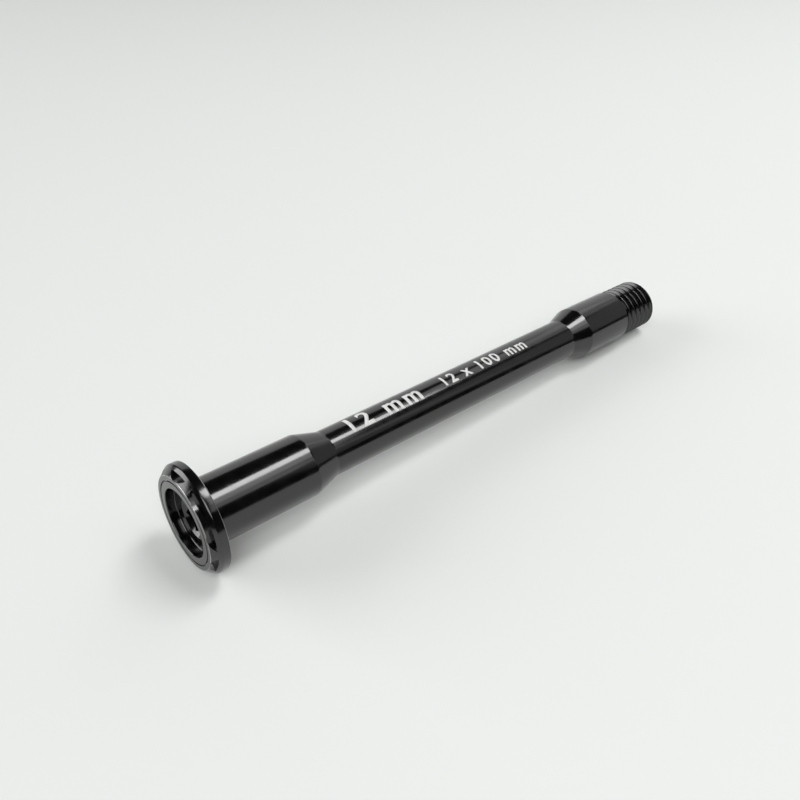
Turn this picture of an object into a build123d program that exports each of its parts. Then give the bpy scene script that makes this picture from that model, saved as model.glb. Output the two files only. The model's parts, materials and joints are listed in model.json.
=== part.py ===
"""Bicycle thru axle: one piece, turned from aluminium bar, lying on a flat surface as it comes to rest.

Millimetres. +X runs along the axle from its head to its threaded tip, +Z is up, and the axle lies
on Z = 0 with its rim and the end of its thread. The origin is under the middle of its length.
"""
import os
from math import atan2, cos, radians, sin, tan

from build123d import *

# Lengths along the axle, from the flange's seat towards the tip
axle_length = 122.0
shank_length = 20.6
head_taper_length = 5.1
waist_length = 67.05
tip_taper_length = 4.6
thread_length = 11.0
tip_chamfer = 0.6

# Diameters along the axle
axle_diameter = 12.0
waist_diameter = 9.0
thread_diameter = 11.68

# Flange: a rim behind a bevel, with a flat face in front
rim_diameter = 20.0
rim_thickness = 1.45
bevel_height = 1.6
face_diameter = 17.3
rim_edge_break = 0.15

# Ring groove, recess and hex socket in the face
groove_diameter = 15.4
groove_width = 0.25
groove_depth = 0.3
recess_diameter = 12.6
recess_depth = 1.7
recess_edge_break = 0.15
hex_across_flats = 6.0
hex_depth = 6.0
hex_phase = 10.0
lead_in_diameter = 7.6
drill_point_angle = 118.0

# Finger notches, end milled into the bevel; phases are degrees about the axle from straight up
notch_count = 9
notch_cutter_diameter = 10.0
notch_inner_radius = 8.55
notch_depth = 1.0
notch_phase = 33.4

# Radii and stations that follow from them
axle_radius = axle_diameter / 2
waist_radius = waist_diameter / 2
thread_radius = thread_diameter / 2
rim_radius = rim_diameter / 2
face_radius = face_diameter / 2
recess_radius = recess_diameter / 2
lead_in_radius = lead_in_diameter / 2
pilot_radius = hex_across_flats / 2
cutter_radius = notch_cutter_diameter / 2
face_station = -(rim_thickness + bevel_height)
recess_floor = face_station + recess_depth
hex_bottom = recess_floor + hex_depth
drill_point = hex_bottom + pilot_radius / tan(radians(drill_point_angle / 2))
waist_start = shank_length + head_taper_length
waist_end = waist_start + waist_length
land_start = waist_end + tip_taper_length
thread_start = axle_length - thread_length
thread_end = axle_length - tip_chamfer

# Rest: the rim's seat-side edge and the thread's end both touch Z = 0
lie_angle = atan2(rim_radius - thread_radius, thread_end + rim_edge_break)
along = Vector(cos(lie_angle), 0, -sin(lie_angle))
upward = Vector(sin(lie_angle), 0, cos(lie_angle))
face_reach = -face_station * cos(lie_angle) + face_radius * sin(lie_angle)
tip_reach = axle_length * cos(lie_angle) + (thread_radius - tip_chamfer) * sin(lie_angle)
seat_height = rim_radius * cos(lie_angle) - rim_edge_break * sin(lie_angle)
seat_centre = Vector((face_reach - tip_reach) / 2, 0, seat_height)
axle_axis = Axis(seat_centre, along)

# The section's plane has X along the axle and Y upward; the face's has X upward and Z into the axle
section_plane = Plane(origin=seat_centre, x_dir=along, z_dir=(0, -1, 0))
face_plane = Plane(origin=seat_centre + along * face_station, x_dir=upward, z_dir=along)

with BuildPart() as thru_axle:
    # Turned outside: flange, shank, waist, plain land and threaded end
    with BuildSketch(section_plane):
        with BuildLine():
            Polyline(
                (face_station, 0),
                (face_station, face_radius),
                (-rim_thickness, rim_radius),
                (0, rim_radius),
                (0, axle_radius),
                (shank_length, axle_radius),
                (waist_start, waist_radius),
                (waist_end, waist_radius),
                (land_start, axle_radius),
                (thread_start, axle_radius),
                (thread_start, thread_radius),
                (thread_end, thread_radius),
                (axle_length, thread_radius - tip_chamfer),
                (axle_length, 0),
                close=True,
            )
        make_face()
    revolve(axis=axle_axis)
    rim_edges = thru_axle.edges().filter_by(GeomType.CIRCLE).group_by(SortBy.RADIUS)[-1]
    chamfer(rim_edges, rim_edge_break)

    # Turned face: recess with a broken edge, the socket's lead-in and drill point, and the ring groove
    with BuildSketch(section_plane):
        with BuildLine():
            Polyline(
                (face_station, 0),
                (face_station, recess_radius + recess_edge_break),
                (face_station + recess_edge_break, recess_radius),
                (recess_floor, recess_radius),
                (recess_floor, lead_in_radius),
                (recess_floor + lead_in_radius, 0),
                close=True,
            )
        make_face()
        with BuildLine():
            Polyline((hex_bottom, 0), (hex_bottom, pilot_radius), (drill_point, 0), close=True)
        make_face()
        with Locations((face_station, groove_diameter / 2)):
            Rectangle(2 * groove_depth, groove_width)
    revolve(axis=axle_axis, mode=Mode.SUBTRACT)

    # Broached hex socket in the recess floor
    with BuildSketch(face_plane.offset(recess_depth)):
        RegularPolygon(hex_across_flats / 2, 6, major_radius=False, rotation=hex_phase)
    extrude(amount=hex_depth, mode=Mode.SUBTRACT)

    # Finger notches around the bevel
    with BuildSketch(face_plane):
        with PolarLocations(notch_inner_radius + cutter_radius, notch_count, start_angle=notch_phase):
            Circle(cutter_radius)
    extrude(amount=notch_depth, mode=Mode.SUBTRACT)

thru_axle.part.label = "thru_axle"
os.makedirs("parts", exist_ok=True)
export_step(thru_axle.part, "parts/thru_axle.step")
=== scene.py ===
"""Bicycle thru axle for its picture: turned, notched, broached, threaded, black anodised and size-marked.

Metres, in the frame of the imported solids. The axle is modelled lying along +X with its flange's seat at
the origin, and is then laid down where the solids say. Angles about the axle are from straight up,
towards -Y.
"""
import json
import math

import bmesh
import bpy
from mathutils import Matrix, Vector


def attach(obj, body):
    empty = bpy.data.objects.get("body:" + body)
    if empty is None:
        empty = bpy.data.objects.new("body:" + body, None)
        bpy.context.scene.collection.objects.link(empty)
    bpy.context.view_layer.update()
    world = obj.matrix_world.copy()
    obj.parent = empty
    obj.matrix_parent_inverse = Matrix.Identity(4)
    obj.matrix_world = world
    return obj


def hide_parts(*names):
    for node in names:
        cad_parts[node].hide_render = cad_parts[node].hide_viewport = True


MM = 0.001

# Stations along the axle, from the flange's seat towards the tip
SEAT = 0.0
SHANK_END = 20.6 * MM
WAIST_START = 25.7 * MM
WAIST_END = 92.75 * MM
LAND_START = 97.35 * MM
THREAD_START = 111.0 * MM
AXLE_END = 122.0 * MM

# Radii along the axle
AXLE_RADIUS = 6.0 * MM
WAIST_RADIUS = 4.5 * MM
CREST_RADIUS = 5.84 * MM
ROOT_RADIUS = 4.93 * MM

# Flange: rim, bevel and face, with the ring groove and the recess in the face
RIM_RADIUS = 10.0 * MM
RIM_FRONT = -1.45 * MM
FACE = -3.05 * MM
FACE_RADIUS = 8.65 * MM
GROOVE_OUTER = 7.825 * MM
GROOVE_INNER = 7.575 * MM
GROOVE_FLOOR = FACE + 0.3 * MM
RECESS_RADIUS = 6.3 * MM
RECESS_FLOOR = -1.35 * MM
SEAT_MOUNT_RADIUS = 8.0 * MM

# Finger notches in the bevel, and how far in front of the face their end mill starts
NOTCH_COUNT = 9
NOTCH_CUTTER_RADIUS = 5.0 * MM
NOTCH_INNER_RADIUS = 8.55 * MM
NOTCH_FLOOR = FACE + 1.0 * MM
NOTCH_PHASE = 33.4
END_MILL_ENTRY = 1.0 * MM

# Hex socket, and how far in front of the recess floor its broach starts
HEX_FLATS = 6.0 * MM
HEX_BOTTOM = 4.65 * MM
HEX_PHASE = 10.0
HEX_HALF_STEP = 30
LEAD_IN_RADIUS = 3.8 * MM
PILOT_RADIUS = 2.96 * MM
DRILL_POINT = 6.43 * MM
BROACH_ENTRY = 0.5 * MM

# Widths of broken edges, of the recess's rounded corner and of the blends at the tapers' ends
FLANGE_EDGE_BREAK = 0.15 * MM
FACE_EDGE_BREAK = 0.08 * MM
GROOVE_EDGE_BREAK = 0.04 * MM
LAND_EDGE_BREAK = 0.15 * MM
RECESS_CORNER = 0.2 * MM
TAPER_BLEND = 0.25 * MM

# Thread: metric flanks with rounded crests, a turn every pitch, over a core that ends inside it
PITCH = 1.75 * MM
FLANK_ANGLE = math.radians(30)
CREST_CURVE = 0.17 * MM
CREST_STEPS = 12
RUNOUT = 1.0 * MM
CORE_RADIUS = 4.80 * MM
CORE_END = AXLE_END - 4.0 * MM
TIP_CHAMFER = 0.6 * MM

# The wound thread starts before its place, runs past both its ends and is then trimmed by the tip's form
TURNS_CUT = 9
WIND_START = THREAD_START - 2.0 * PITCH
HEAD_TRIM = THREAD_START - 0.4 * PITCH
TIP_TRIM = AXLE_END + 0.2 * PITCH
TIP_FORM_START = THREAD_START - 0.5 * MM
TIP_FORM_RADIUS = AXLE_RADIUS + 0.2 * MM

# Sides of round shapes, and the angle between faces up to which they are shaded as one
TURNED_SIDES = 256
THREAD_SIDES = 120
END_MILL_SIDES = 128
SMOOTH_ANGLE = math.radians(12)

# How close places are that count as one: in a fresh mesh, after the cuts, and in radius on a turned edge
SAME_PLACE = 1e-7
SAME_AFTER_CUTS = 1e-6
SAME_RADIUS = 2e-6

# Etched size marks on the waist: start, lower edge across the axle, height and spacing of their figures
SIZE_MARKS = [
    ("diameter_mark", "12 mm", 30.9 * MM, -2.18 * MM, 4.05 * MM, 1.3),
    ("hub_mark", "12 x 100 mm", 54.7 * MM, -1.90 * MM, 2.84 * MM, 1.25),
]
MARK_BOLDNESS = 0.025
MARK_THICKNESS = 0.02 * MM
MARK_STRIPS = 16
MARK_DROP_HEIGHT = 1.2 * AXLE_RADIUS

# Widths of the flange's rubbed edges, in millimetres; the bare metal there is also a painted highlight
# along the edges
FACE_EDGE_RUB_AND_HIGHLIGHT = 0.10
SEAT_EDGE_RUB_AND_HIGHLIGHT = 0.12

# Table, light and camera; the focal length and the picture's width are in pixels
TABLE_SIZE = 6
CEILING = 0.92
AXLE_MIDDLE = (0.0, 0.0, 0.01)
ROOM_LIGHT = 0.015
CAMERA_PLACE = (-0.09450, -0.09216, 0.10224)
CAMERA_TILT = 53.64
CAMERA_TURN = -40.64
FOCAL_LENGTH = 775
PICTURE_WIDTH = 800
SENSOR_WIDTH = 36
CAMERA_NEAR_LIMIT = 0.005

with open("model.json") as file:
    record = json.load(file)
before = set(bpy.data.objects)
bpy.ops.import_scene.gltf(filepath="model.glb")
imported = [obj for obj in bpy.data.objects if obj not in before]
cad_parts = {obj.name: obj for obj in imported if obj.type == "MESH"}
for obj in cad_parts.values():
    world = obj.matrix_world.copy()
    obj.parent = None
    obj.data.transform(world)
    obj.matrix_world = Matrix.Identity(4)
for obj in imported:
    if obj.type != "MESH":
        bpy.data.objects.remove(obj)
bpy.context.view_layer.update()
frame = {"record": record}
mounts = {mount["name"]: mount for mount in frame["record"]["mounts"]}
axle_direction = Vector(mounts["head_seat"]["axis"])
lie_angle = math.atan2(-axle_direction.z, axle_direction.x)
upward = Vector((math.sin(lie_angle), 0, math.cos(lie_angle)))
seat_centre = Vector(mounts["head_seat"]["pos_m"]) - SEAT_MOUNT_RADIUS * upward


# Bench work: picking, bars, turning and cutting
def around(radius, phase):
    """The place at that radius and angle about the axle, across it."""
    angle = math.radians(phase)
    return -radius * math.sin(angle), radius * math.cos(angle)


def deselect_all():
    """Leaves no object selected."""
    bpy.ops.object.select_all(action="DESELECT")


def pick(piece):
    """Selects the piece alone and makes it the active one."""
    deselect_all()
    piece.select_set(True)
    bpy.context.view_layer.objects.active = piece


def settle(piece):
    """Puts the piece's place into its mesh."""
    pick(piece)
    bpy.ops.object.transform_apply(location=True, rotation=True, scale=True)


def bar(name, sides, radius, start, end, y=0.0, z=0.0):
    """A round or sided bar along the axle's direction."""
    deselect_all()
    bpy.ops.mesh.primitive_cylinder_add(
        vertices=sides,
        radius=radius,
        depth=end - start,
        location=((start + end) / 2, y, z),
        rotation=(0, math.pi / 2, 0),
    )
    piece = bpy.context.object
    piece.name = name
    settle(piece)
    return piece


def reach(vertex):
    """How far a vertex is from the axle's centre line."""
    return math.hypot(vertex.co.y, vertex.co.z)


def pick_end(piece, station):
    """In edit mode, selects the flat end of a bar at that station."""
    bpy.ops.mesh.select_all(action="DESELECT")
    bpy.ops.mesh.select_mode(type="FACE")
    shape = bmesh.from_edit_mesh(piece.data)
    for face in shape.faces:
        face.select_set(all(abs(vertex.co.x - station) < SAME_PLACE for vertex in face.verts))
    bmesh.update_edit_mesh(piece.data)


def turn_down(start, radius, cuts):
    """Draws the selected end out through stations and radii, as a lathe's tool would follow them."""
    for station, new_radius in cuts:
        bpy.ops.mesh.extrude_region_move(TRANSFORM_OT_translate={"value": (station - start, 0, 0)})
        factor = new_radius / radius
        bpy.ops.transform.resize(value=(1, factor, factor), center_override=(station, 0, 0))
        start = station
        radius = new_radius


def on_turned_edge(vertex, station, radius):
    """Whether a vertex is on the turned edge at that station and radius."""
    return abs(vertex.co.x - station) < SAME_AFTER_CUTS and abs(reach(vertex) - radius) < SAME_RADIUS


def break_edges(piece, corners, width, segments):
    """In edit mode, rounds the turned edges at those stations and radii."""
    bpy.ops.mesh.select_all(action="DESELECT")
    bpy.ops.mesh.select_mode(type="EDGE")
    shape = bmesh.from_edit_mesh(piece.data)
    for edge in shape.edges:
        for station, radius in corners:
            if all(on_turned_edge(vertex, station, radius) for vertex in edge.verts):
                edge.select_set(True)
    bmesh.update_edit_mesh(piece.data)
    bpy.ops.mesh.bevel(offset=width, segments=segments, affect="EDGES")


def cut_with(piece, tool, operation="DIFFERENCE"):
    """Cuts, joins or trims the piece with the tool's shape, and takes the tool away."""
    pick(piece)
    step = piece.modifiers.new("cut", "BOOLEAN")
    step.operation = operation
    step.solver = "EXACT"
    step.object = tool
    bpy.ops.object.modifier_apply(modifier=step.name)
    bpy.data.objects.remove(tool)


# Axle: lathe work, thread, socket and notches
def turned_axle():
    """The lathe work: from the shank to the core inside the thread, then the flange and its face."""
    axle = bar("thru_axle_black", TURNED_SIDES, AXLE_RADIUS, SEAT, SHANK_END)
    bpy.ops.object.mode_set(mode="EDIT")
    pick_end(axle, SHANK_END)
    turn_down(
        SHANK_END,
        AXLE_RADIUS,
        [
            (WAIST_START, WAIST_RADIUS),
            (WAIST_END, WAIST_RADIUS),
            (LAND_START, AXLE_RADIUS),
            (THREAD_START - LAND_EDGE_BREAK, AXLE_RADIUS),
            (THREAD_START, AXLE_RADIUS - LAND_EDGE_BREAK),
            (THREAD_START + RUNOUT, CORE_RADIUS),
            (CORE_END, CORE_RADIUS),
        ],
    )
    pick_end(axle, SEAT)
    turn_down(
        SEAT,
        AXLE_RADIUS,
        [
            (SEAT, RIM_RADIUS),
            (RIM_FRONT, RIM_RADIUS),
            (FACE, FACE_RADIUS),
            (FACE, GROOVE_OUTER),
            (GROOVE_FLOOR, GROOVE_OUTER),
            (GROOVE_FLOOR, GROOVE_INNER),
            (FACE, GROOVE_INNER),
            (FACE, RECESS_RADIUS),
            (RECESS_FLOOR, RECESS_RADIUS),
            (RECESS_FLOOR, LEAD_IN_RADIUS),
            (RECESS_FLOOR + LEAD_IN_RADIUS - PILOT_RADIUS, PILOT_RADIUS),
            (HEX_BOTTOM, PILOT_RADIUS),
        ],
    )
    bpy.ops.mesh.extrude_region_move(TRANSFORM_OT_translate={"value": (DRILL_POINT - HEX_BOTTOM, 0, 0)})
    bpy.ops.mesh.merge(type="CENTER")
    rim_and_mouth = [(SEAT, RIM_RADIUS), (RIM_FRONT, RIM_RADIUS), (FACE, RECESS_RADIUS)]
    groove_edges = [(FACE, GROOVE_OUTER), (FACE, GROOVE_INNER)]
    taper_ends = [
        (SHANK_END, AXLE_RADIUS),
        (WAIST_START, WAIST_RADIUS),
        (WAIST_END, WAIST_RADIUS),
        (LAND_START, AXLE_RADIUS),
    ]
    break_edges(axle, rim_and_mouth, FLANGE_EDGE_BREAK, 3)
    break_edges(axle, [(FACE, FACE_RADIUS)], FACE_EDGE_BREAK, 2)
    break_edges(axle, groove_edges, GROOVE_EDGE_BREAK, 2)
    break_edges(axle, [(RECESS_FLOOR, RECESS_RADIUS)], RECESS_CORNER, 3)
    break_edges(axle, taper_ends, TAPER_BLEND, 3)
    bpy.ops.object.mode_set(mode="OBJECT")
    return axle


def tooth_steps():
    """One tooth's outline as runs and rises: root, flank, rounded crest and flank."""
    slope = math.pi / 2 - FLANK_ANGLE
    crest_turn = 2 * slope / CREST_STEPS
    chord = 2 * CREST_CURVE * math.sin(crest_turn / 2)
    headings = [slope - (count + 0.5) * crest_turn for count in range(CREST_STEPS)]
    crest = [(chord * math.cos(heading), chord * math.sin(heading)) for heading in headings]
    crest_rise = CREST_CURVE * (1 - math.cos(slope))
    flank_rise = CREST_RADIUS - ROOT_RADIUS - crest_rise
    flank_run = flank_rise * math.tan(FLANK_ANGLE)
    root_flat = PITCH - 2 * flank_run - 2 * CREST_CURVE * math.sin(slope)
    return [(root_flat, 0), (flank_run, flank_rise), *crest, (flank_run, -flank_rise)]


def tooth():
    """One tooth's outline, drawn from a single point on the root."""
    deselect_all()
    bpy.ops.mesh.primitive_plane_add(size=PITCH, location=(WIND_START, 0, ROOT_RADIUS))
    outline = bpy.context.object
    outline.name = "thread"
    settle(outline)
    bpy.ops.object.mode_set(mode="EDIT")
    bpy.ops.mesh.select_mode(type="VERT")
    bpy.ops.mesh.select_all(action="SELECT")
    bpy.ops.mesh.merge(type="CENTER")
    for run, rise in tooth_steps():
        bpy.ops.mesh.extrude_vertices_move(TRANSFORM_OT_translate={"value": (run, 0, rise)})
    bpy.ops.object.mode_set(mode="OBJECT")
    return outline


def wind(thread):
    """Runs the tooth round the axle along its helix."""
    helix = thread.modifiers.new("helix", "SCREW")
    helix.axis = "X"
    helix.angle = 2 * math.pi
    helix.screw_offset = PITCH
    helix.iterations = TURNS_CUT
    helix.steps = THREAD_SIDES
    helix.render_steps = THREAD_SIDES
    helix.use_merge_vertices = True
    helix.merge_threshold = SAME_PLACE
    pick(thread)
    bpy.ops.object.modifier_apply(modifier=helix.name)


def close_ends(thread):
    """Cuts the wound thread off square and closes it, half a step off the helix's corners."""
    half_step = PITCH / THREAD_SIDES / 2
    pick(thread)
    bpy.ops.object.mode_set(mode="EDIT")
    bpy.ops.mesh.select_all(action="SELECT")
    bpy.ops.mesh.remove_doubles(threshold=SAME_PLACE)
    for station, towards_head in [(HEAD_TRIM - half_step, True), (TIP_TRIM + half_step, False)]:
        bpy.ops.mesh.select_all(action="SELECT")
        bpy.ops.mesh.bisect(
            plane_co=(station, 0, 0),
            plane_no=(1, 0, 0),
            use_fill=True,
            threshold=SAME_PLACE,
            clear_inner=towards_head,
            clear_outer=not towards_head,
        )
    bpy.ops.mesh.select_all(action="SELECT")
    bpy.ops.mesh.normals_make_consistent(inside=False)
    bpy.ops.object.mode_set(mode="OBJECT")


def tip_form():
    """A bar a little wider than the thread, with the tip's chamfer, that the thread is trimmed to."""
    tip_radius = CREST_RADIUS - TIP_CHAMFER
    cone_start = AXLE_END - (TIP_FORM_RADIUS - tip_radius)
    tip = bar("tip", TURNED_SIDES, TIP_FORM_RADIUS, TIP_FORM_START, cone_start)
    bpy.ops.object.mode_set(mode="EDIT")
    pick_end(tip, cone_start)
    turn_down(cone_start, TIP_FORM_RADIUS, [(AXLE_END, tip_radius)])
    bpy.ops.object.mode_set(mode="OBJECT")
    return tip


def threaded_end():
    """A coarse metric thread: one tooth, wound along its helix and trimmed to the tip's form."""
    thread = tooth()
    wind(thread)
    close_ends(thread)
    cut_with(thread, tip_form(), "INTERSECT")
    return thread


def broach_hex(axle):
    """The hex socket, square to the face."""
    corner_radius = HEX_FLATS / 2 / math.cos(math.radians(HEX_HALF_STEP))
    broach = bar("broach", 6, corner_radius, RECESS_FLOOR - BROACH_ENTRY, HEX_BOTTOM)
    broach.rotation_euler = (math.radians(HEX_PHASE - HEX_HALF_STEP), 0, 0)
    settle(broach)
    cut_with(axle, broach)


def mill_notches(axle):
    """The finger notches, end milled into the bevel."""
    for count in range(NOTCH_COUNT):
        phase = NOTCH_PHASE + count * 360 / NOTCH_COUNT
        y, z = around(NOTCH_INNER_RADIUS + NOTCH_CUTTER_RADIUS, phase)
        start = FACE - END_MILL_ENTRY
        cutter = bar("end_mill", END_MILL_SIDES, NOTCH_CUTTER_RADIUS, start, NOTCH_FLOOR, y, z)
        cut_with(axle, cutter)


def smooth_off(axle):
    """Merges what the cuts left double, turns the faces outwards and shades the round ones smooth."""
    pick(axle)
    bpy.ops.object.mode_set(mode="EDIT")
    bpy.ops.mesh.select_all(action="SELECT")
    bpy.ops.mesh.remove_doubles(threshold=SAME_AFTER_CUTS)
    bpy.ops.mesh.normals_make_consistent(inside=False)
    bpy.ops.object.mode_set(mode="OBJECT")
    bpy.ops.object.shade_smooth_by_angle(angle=SMOOTH_ANGLE)


# Size marks on the waist
def flat_figures(name, size, start, low_edge, height, spacing):
    """A size in plain figures, flat above the axle over the place where it goes."""
    deselect_all()
    bpy.ops.object.text_add(location=(0, 0, 0))
    mark = bpy.context.object
    mark.name = name
    mark.data.body = size
    mark.data.offset = MARK_BOLDNESS
    mark.data.space_character = spacing
    bpy.ops.object.convert(target="MESH")
    mark = bpy.context.object
    places = [vertex.co for vertex in mark.data.vertices]
    low = Vector((min(place.x for place in places), min(place.y for place in places), 0))
    factor = height / (max(place.y for place in places) - low.y)
    mark.scale *= factor
    mark.location = Vector((start, low_edge, MARK_DROP_HEIGHT)) - factor * low
    settle(mark)
    return mark


def etched_mark(axle, name, size, start, low_edge, height, spacing):
    """A plain size etched on the waist, read from the head towards the tip."""
    mark = flat_figures(name, size, start, low_edge, height, spacing)
    bpy.ops.object.mode_set(mode="EDIT")
    for count in range(1, MARK_STRIPS):
        bpy.ops.mesh.select_all(action="SELECT")
        bpy.ops.mesh.bisect(
            plane_co=(0, low_edge + count * height / MARK_STRIPS, 0),
            plane_no=(0, 1, 0),
            threshold=SAME_PLACE,
        )
    bpy.ops.mesh.select_all(action="SELECT")
    bpy.ops.mesh.remove_doubles(threshold=SAME_PLACE)
    bpy.ops.object.mode_set(mode="OBJECT")
    wrap = mark.modifiers.new("wrap", "SHRINKWRAP")
    wrap.target = axle
    wrap.wrap_method = "PROJECT"
    wrap.use_project_z = True
    wrap.use_negative_direction = True
    wrap.use_positive_direction = False
    bpy.ops.object.modifier_apply(modifier=wrap.name)
    skin = mark.modifiers.new("skin", "SOLIDIFY")
    skin.thickness = MARK_THICKNESS
    skin.offset = 1
    bpy.ops.object.modifier_apply(modifier=skin.name)
    return mark


def lay_down(piece):
    """Lays a piece modelled along +X where the solids say the axle lies."""
    piece.rotation_euler = (0, lie_angle, 0)
    piece.location = seat_centre
    settle(piece)


axle = turned_axle()
cut_with(axle, threaded_end(), "UNION")
broach_hex(axle)
mill_notches(axle)
smooth_off(axle)
marks = [etched_mark(axle, *mark) for mark in SIZE_MARKS]
for piece in [axle, *marks]:
    lay_down(piece)


# Finishes: black anodising and etched white
def new_material(name):
    """A material with nodes, and its shader."""
    material = bpy.data.materials.new(name)
    material.use_nodes = True
    return material, material.node_tree.nodes["Principled BSDF"]


def axle_places():
    """A group that gives each point's place on the axle in millimetres, with its station and reach."""
    group = bpy.data.node_groups.new("axle_places", "ShaderNodeTree")
    group.interface.new_socket("Place", in_out="OUTPUT", socket_type="NodeSocketVector")
    group.interface.new_socket("Station", in_out="OUTPUT", socket_type="NodeSocketFloat")
    group.interface.new_socket("Reach", in_out="OUTPUT", socket_type="NodeSocketFloat")
    nodes, links = group.nodes, group.links
    coordinates = nodes.new("ShaderNodeTexCoord")
    lying = nodes.new("ShaderNodeMapping")
    lying.vector_type = "TEXTURE"
    lying.inputs["Location"].default_value = seat_centre
    lying.inputs["Rotation"].default_value = (0, lie_angle, 0)
    lying.inputs["Scale"].default_value = (MM, MM, MM)
    split = nodes.new("ShaderNodeSeparateXYZ")
    across = nodes.new("ShaderNodeVectorMath")
    across.operation = "MULTIPLY"
    across.inputs[1].default_value = (0, 1, 1)
    length = nodes.new("ShaderNodeVectorMath")
    length.operation = "LENGTH"
    result = nodes.new("NodeGroupOutput")
    links.new(coordinates.outputs["Object"], lying.inputs["Vector"])
    links.new(lying.outputs["Vector"], split.inputs["Vector"])
    links.new(lying.outputs["Vector"], across.inputs[0])
    links.new(across.outputs["Vector"], length.inputs[0])
    links.new(lying.outputs["Vector"], result.inputs["Place"])
    links.new(split.outputs["X"], result.inputs["Station"])
    links.new(length.outputs["Value"], result.inputs["Reach"])
    return group


def near_edge(nodes, links, place, station, radius, width):
    """How near a point is to a turned edge: 1 on it, 0 beyond that width in millimetres."""
    section = nodes.new("ShaderNodeCombineXYZ")
    links.new(place.outputs["Station"], section.inputs["X"])
    links.new(place.outputs["Reach"], section.inputs["Y"])
    gap = nodes.new("ShaderNodeVectorMath")
    gap.operation = "DISTANCE"
    gap.inputs[1].default_value = (station / MM, radius / MM, 0)
    links.new(section.outputs["Vector"], gap.inputs[0])
    nearness = nodes.new("ShaderNodeMapRange")
    nearness.interpolation_type = "SMOOTHSTEP"
    nearness.inputs["From Min"].default_value = width
    nearness.inputs["From Max"].default_value = width / 2
    links.new(gap.outputs["Value"], nearness.inputs["Value"])
    return nearness.outputs["Result"]


def spread(nodes, links, noise, span, results):
    """Spreads a noise's span of values over a span of results."""
    spreader = nodes.new("ShaderNodeMapRange")
    spreader.inputs["From Min"].default_value, spreader.inputs["From Max"].default_value = span
    spreader.inputs["To Min"].default_value, spreader.inputs["To Max"].default_value = results
    links.new(noise.outputs["Fac"], spreader.inputs["Value"])
    return spreader.outputs["Result"]


def mottled(nodes, links, noise, span, dark, light):
    """A colour between dark and light, as the noise runs through its span of values."""
    ramp = nodes.new("ShaderNodeValToRGB")
    for stop, position, colour in zip(ramp.color_ramp.elements, span, (dark, light)):
        stop.position = position
        stop.color = (*colour, 1)
    links.new(noise.outputs["Fac"], ramp.inputs["Fac"])
    return ramp.outputs["Color"]


def black_anodised(places):
    """Black anodising over turned aluminium: fine tool lines, slightly uneven gloss and rubbed bare
    edges, which also paint in the edges' highlight.
    """
    material, shader = new_material("black_anodised")
    nodes, links = material.node_tree.nodes, material.node_tree.links
    shader.inputs["IOR"].default_value = 1.70
    place = nodes.new("ShaderNodeGroup")
    place.node_tree = places

    tool_lines = nodes.new("ShaderNodeTexNoise")
    tool_lines.noise_dimensions = "1D"
    tool_lines.inputs["Scale"].default_value = 5.0
    tool_lines.inputs["Detail"].default_value = 4.0
    tool_lines.inputs["Roughness"].default_value = 0.6
    links.new(place.outputs["Station"], tool_lines.inputs["W"])
    ridges = nodes.new("ShaderNodeBump")
    ridges.inputs["Strength"].default_value = 0.25
    ridges.inputs["Distance"].default_value = 0.002 * MM
    links.new(tool_lines.outputs["Fac"], ridges.inputs["Height"])
    links.new(ridges.outputs["Normal"], shader.inputs["Normal"])

    clouds = nodes.new("ShaderNodeTexNoise")
    clouds.inputs["Scale"].default_value = 0.35
    clouds.inputs["Detail"].default_value = 4.0
    links.new(place.outputs["Place"], clouds.inputs["Vector"])
    gloss = spread(nodes, links, clouds, (0.3, 0.7), (0.12, 0.18))
    links.new(gloss, shader.inputs["Roughness"])
    dye = mottled(nodes, links, clouds, (0.3, 0.7), (0.0010, 0.0011, 0.0010), (0.0026, 0.0027, 0.0025))

    # Rubbed edges of the flange, where bare aluminium shows through; the bare metal also stands in for
    # the edges' shine, a painted highlight
    edges = nodes.new("ShaderNodeMath")
    edges.operation = "MAXIMUM"
    links.new(near_edge(nodes, links, place, FACE, FACE_RADIUS, FACE_EDGE_RUB_AND_HIGHLIGHT), edges.inputs[0])
    links.new(near_edge(nodes, links, place, SEAT, RIM_RADIUS, SEAT_EDGE_RUB_AND_HIGHLIGHT), edges.inputs[1])
    # Bare metal on the flange's edges: rubbed wear and a painted highlight along them
    bare_metal_and_highlight = nodes.new("ShaderNodeMath")
    bare_metal_and_highlight.operation = "MULTIPLY"
    links.new(edges.outputs["Value"], bare_metal_and_highlight.inputs[0])
    links.new(spread(nodes, links, clouds, (0.35, 0.65), (0.25, 0.85)), bare_metal_and_highlight.inputs[1])
    links.new(bare_metal_and_highlight.outputs["Value"], shader.inputs["Metallic"])
    colour = nodes.new("ShaderNodeMix")
    colour.data_type = "RGBA"
    colour.inputs["B"].default_value = (0.62, 0.62, 0.63, 1)
    links.new(bare_metal_and_highlight.outputs["Value"], colour.inputs["Factor"])
    links.new(dye, colour.inputs["A"])
    links.new(colour.outputs["Result"], shader.inputs["Base Color"])
    return material


def etched_white(places):
    """Marks burnt into the anodising: pale, matt and a little uneven."""
    material, shader = new_material("etched_white")
    nodes, links = material.node_tree.nodes, material.node_tree.links
    shader.inputs["Roughness"].default_value = 0.7
    place = nodes.new("ShaderNodeGroup")
    place.node_tree = places
    specks = nodes.new("ShaderNodeTexNoise")
    specks.inputs["Scale"].default_value = 3.0
    specks.inputs["Detail"].default_value = 3.0
    links.new(place.outputs["Place"], specks.inputs["Vector"])
    white = mottled(nodes, links, specks, (0.3, 0.65), (0.66, 0.66, 0.65), (0.82, 0.82, 0.81))
    links.new(white, shader.inputs["Base Color"])
    return material


places = axle_places()
axle.data.materials.clear()
axle.data.materials.append(black_anodised(places))
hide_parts("thru_axle")
etching = etched_white(places)
for mark in marks:
    mark.data.materials.clear()
    mark.data.materials.append(etching)
for piece in [axle, *marks]:
    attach(piece, "root")


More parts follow.
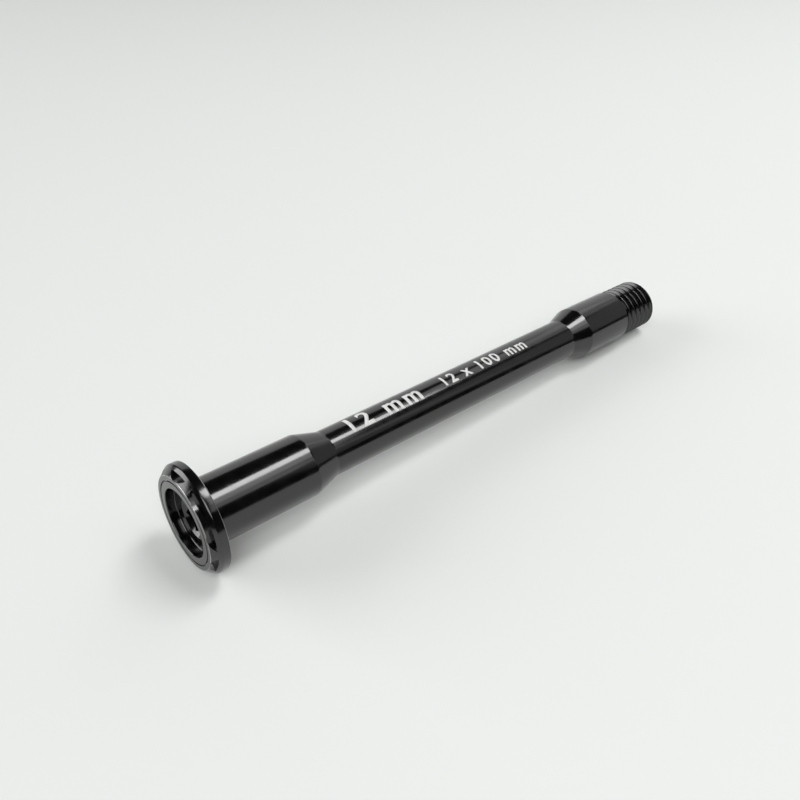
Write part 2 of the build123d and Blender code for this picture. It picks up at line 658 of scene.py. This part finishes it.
# Studio: a pale matt table, light panels, a faint even room and the camera
def table():
    """The pale matt top that the axle lies on."""
    deselect_all()
    bpy.ops.mesh.primitive_plane_add(size=TABLE_SIZE, location=(0, 0, 0))
    top = bpy.context.object
    top.name = "table"
    material, shader = new_material("pale_table")
    shader.inputs["Base Color"].default_value = (0.82, 0.84, 0.82, 1)
    shader.inputs["Roughness"].default_value = 0.5
    shader.inputs["Specular IOR Level"].default_value = 0.05
    top.data.materials.append(material)


def panel(name, place, aim, width, height, radiance, turn=0):
    """A soft, evenly bright light panel, where 1 is white, turned in its own plane by degrees."""
    deselect_all()
    bpy.ops.object.light_add(type="AREA", location=place)
    lamp = bpy.context.object
    lamp.name = name
    lamp.data.shape = "RECTANGLE"
    lamp.data.size = width
    lamp.data.size_y = height
    lamp.data.energy = radiance * math.pi * width * height
    lamp.rotation_euler = (Vector(aim) - Vector(place)).to_track_quat("-Z", "Y").to_euler()
    lamp.rotation_euler.rotate_axis("Z", math.radians(turn))
    lamp.visible_camera = False


def ceiling_panel(name, x, y, width, height, radiance, turn=0):
    """A light panel on the ceiling, facing straight down."""
    panel(name, (x, y, CEILING), (x, y, 0.0), width, height, radiance, turn)


table()
ceiling_panel("overhead_key", 0.41, -0.13, 0.56, 0.27, radiance=8.6, turn=19)
ceiling_panel("overhead_near_fill", 0.40, -0.46, 0.42, 0.36, radiance=1.9, turn=12)
ceiling_panel("overhead_far_fill", 0.46, -0.86, 0.50, 0.44, radiance=1.0)
ceiling_panel("overhead_tail", 0.94, 0.35, 0.76, 0.26, radiance=1.1, turn=42)
ceiling_panel("overhead_tail_front", 1.09, 0.145, 0.81, 0.24, radiance=0.62, turn=42)
panel("left_back_window", (-0.88, 0.88, 0.48), (-0.06, 0.0, 0.01), 1.12, 0.77, radiance=3.8)
panel("back_panel", (0.80, 0.72, 0.395), (0.0, 0.0, 0.395), 2.01, 0.77, radiance=0.82)
panel("right_front_panel", (1.012, -0.399, 0.507), AXLE_MIDDLE, 1.09, 0.73, radiance=0.32)
panel("right_front_end", (0.625, -0.830, 0.600), AXLE_MIDDLE, 0.30, 0.51, radiance=0.28)
panel("front_fill", (-0.55, -0.65, 0.92), (0.0, 0.0, 0.0), 1.00, 0.80, radiance=3.3)

world = bpy.data.worlds.new("room")
bpy.context.scene.world = world
world.use_nodes = True
world.node_tree.nodes["Background"].inputs["Color"].default_value = (1, 1, 1, 1)
world.node_tree.nodes["Background"].inputs["Strength"].default_value = ROOM_LIGHT

deselect_all()
bpy.ops.object.camera_add(
    location=CAMERA_PLACE,
    rotation=(math.radians(CAMERA_TILT), 0, math.radians(CAMERA_TURN)),
)
camera = bpy.context.object
camera.data.sensor_width = SENSOR_WIDTH
camera.data.lens = SENSOR_WIDTH * FOCAL_LENGTH / PICTURE_WIDTH
camera.data.clip_start = CAMERA_NEAR_LIMIT
bpy.context.scene.camera = camera
bpy.context.scene.view_settings.view_transform = "Standard"
